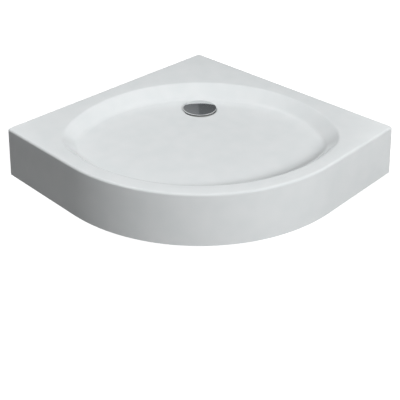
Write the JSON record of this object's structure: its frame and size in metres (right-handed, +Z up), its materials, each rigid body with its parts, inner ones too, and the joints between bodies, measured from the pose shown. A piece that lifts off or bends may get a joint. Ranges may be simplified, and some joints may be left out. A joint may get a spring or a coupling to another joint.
{
  "type": "quadrant shower tray",
  "caption": "Quarter-round white acrylic shower tray with a leaning apron, an oval basin, screw feet and a low waste trap with a round chrome cover.",
  "frame": {"origin": "on the floor, under the middle of the 900 mm square that the tray fills", "axes": "+Z up; the two walls are at -X and +Y, and the round front points to +X and -Y"},
  "size_m": [0.9, 0.9, 0.17],
  "materials": {
    "acrylic": "gloss white sanitary acrylic",
    "backing": "rough glassfibre resin",
    "board": "raw chipboard",
    "black_plastic": "black moulded plastic",
    "zinc": "zinc plated steel",
    "yellow_zinc": "yellow passivated steel",
    "grey_plastic": "grey moulded plastic",
    "rubber": "soft black rubber",
    "white_plastic": "white moulded plastic, satin",
    "chrome": "polished chrome plate"
  },
  "bodies": {
    "tray": {"tray_shell": "acrylic", "glassfibre_backing": "backing", "base_board": "board", "front_foot_socket": "black_plastic", "right_foot_socket": "black_plastic", "left_foot_socket": "black_plastic", "rear_right_foot_socket": "black_plastic", "rear_left_foot_socket": "black_plastic", "socket_screws": "yellow_zinc", "waste_flange": "grey_plastic", "upper_gasket": "rubber", "lower_gasket": "rubber", "trap_body": "white_plastic", "outlet_seal": "rubber"},
    "insert": {"dip_tube": "white_plastic", "insert_seal": "rubber"},
    "cover": {"cap": "chrome", "cap_stem": "white_plastic"},
    "outlet_nut": {"union_nut": "white_plastic"},
    "outlet_bend": {"elbow": "white_plastic", "outlet_coupling": "white_plastic", "coupling_seal": "rubber"},
    "front_foot_base": {"front_foot_pad": "black_plastic"},
    "front_foot_screw": {"front_foot_stud": "zinc"},
    "front_foot_jam": {"front_foot_lock_nut": "zinc"},
    "right_foot_base": {"right_foot_pad": "black_plastic"},
    "right_foot_screw": {"right_foot_stud": "zinc"},
    "right_foot_jam": {"right_foot_lock_nut": "zinc"},
    "left_foot_base": {"left_foot_pad": "black_plastic"},
    "left_foot_screw": {"left_foot_stud": "zinc"},
    "left_foot_jam": {"left_foot_lock_nut": "zinc"},
    "rear_right_foot_base": {"rear_right_foot_pad": "black_plastic"},
    "rear_right_foot_screw": {"rear_right_foot_stud": "zinc"},
    "rear_right_foot_jam": {"rear_right_foot_lock_nut": "zinc"},
    "rear_left_foot_base": {"rear_left_foot_pad": "black_plastic"},
    "rear_left_foot_screw": {"rear_left_foot_stud": "zinc"},
    "rear_left_foot_jam": {"rear_left_foot_lock_nut": "zinc"}
  },
  "joints": [
    {"name": "insert_lift", "type": "slide", "parent": "tray", "child": "insert", "axis": [0, 0, 1], "range_m": [0, 0.09]},
    {"name": "cover_lift", "type": "slide", "parent": "insert", "child": "cover", "axis": [0, 0, 1], "range_m": [0, 0.05]},
    {"name": "outlet_nut_turn", "type": "hinge", "parent": "tray", "child": "outlet_nut", "pos_m": [-0.157, 0.157, 0.074], "axis": [0, -1, 0], "range_deg": [0, 1080]},
    {"name": "outlet_bend_swivel", "type": "hinge", "parent": "tray", "child": "outlet_bend", "pos_m": [-0.157, 0.157, 0.074], "axis": [0, -1, 0], "range_deg": [-90, 90]},
    {"name": "front_foot_height", "type": "slide", "parent": "tray", "child": "front_foot_base", "axis": [0, 0, -1], "range_m": [0, 0.012]},
    {"name": "front_foot_turn", "type": "hinge", "parent": "front_foot_base", "child": "front_foot_screw", "pos_m": [0.17931, -0.17931, 0.05], "axis": [0, 0, -1], "range_deg": [0, 2881]},
    {"name": "front_foot_jam_turn", "type": "hinge", "parent": "front_foot_screw", "child": "front_foot_jam", "pos_m": [0.17931, -0.17931, 0.07], "axis": [0, 0, -1], "range_deg": [0, 720]},
    {"name": "right_foot_height", "type": "slide", "parent": "tray", "child": "right_foot_base", "axis": [0, 0, -1], "range_m": [0, 0.012]},
    {"name": "right_foot_turn", "type": "hinge", "parent": "right_foot_base", "child": "right_foot_screw", "pos_m": [0.26619, 0.1968, 0.05], "axis": [0, 0, -1], "range_deg": [0, 2881]},
    {"name": "right_foot_jam_turn", "type": "hinge", "parent": "right_foot_screw", "child": "right_foot_jam", "pos_m": [0.26619, 0.1968, 0.07], "axis": [0, 0, -1], "range_deg": [0, 720]},
    {"name": "left_foot_height", "type": "slide", "parent": "tray", "child": "left_foot_base", "axis": [0, 0, -1], "range_m": [0, 0.012]},
    {"name": "left_foot_turn", "type": "hinge", "parent": "left_foot_base", "child": "left_foot_screw", "pos_m": [-0.1968, -0.26619, 0.05], "axis": [0, 0, -1], "range_deg": [0, 2881]},
    {"name": "left_foot_jam_turn", "type": "hinge", "parent": "left_foot_screw", "child": "left_foot_jam", "pos_m": [-0.1968, -0.26619, 0.07], "axis": [0, 0, -1], "range_deg": [0, 720]},
    {"name": "rear_right_foot_height", "type": "slide", "parent": "tray", "child": "rear_right_foot_base", "axis": [0, 0, -1], "range_m": [0, 0.012]},
    {"name": "rear_right_foot_turn", "type": "hinge", "parent": "rear_right_foot_base", "child": "rear_right_foot_screw", "pos_m": [0.03461, 0.25835, 0.05], "axis": [0, 0, -1], "range_deg": [0, 2881]},
    {"name": "rear_right_foot_jam_turn", "type": "hinge", "parent": "rear_right_foot_screw", "child": "rear_right_foot_jam", "pos_m": [0.03461, 0.25835, 0.07], "axis": [0, 0, -1], "range_deg": [0, 720]},
    {"name": "rear_left_foot_height", "type": "slide", "parent": "tray", "child": "rear_left_foot_base", "axis": [0, 0, -1], "range_m": [0, 0.012]},
    {"name": "rear_left_foot_turn", "type": "hinge", "parent": "rear_left_foot_base", "child": "rear_left_foot_screw", "pos_m": [-0.25835, -0.03461, 0.05], "axis": [0, 0, -1], "range_deg": [0, 2881]},
    {"name": "rear_left_foot_jam_turn", "type": "hinge", "parent": "rear_left_foot_screw", "child": "rear_left_foot_jam", "pos_m": [-0.25835, -0.03461, 0.07], "axis": [0, 0, -1], "range_deg": [0, 720]}
  ],
  "couplings": [
    {"joint": "front_foot_turn", "follows": "front_foot_height", "rad_per_m": 4188.8},
    {"joint": "right_foot_turn", "follows": "right_foot_height", "rad_per_m": 4188.8},
    {"joint": "left_foot_turn", "follows": "left_foot_height", "rad_per_m": 4188.8},
    {"joint": "rear_right_foot_turn", "follows": "rear_right_foot_height", "rad_per_m": 4188.8},
    {"joint": "rear_left_foot_turn", "follows": "rear_left_foot_height", "rad_per_m": 4188.8}
  ]
}
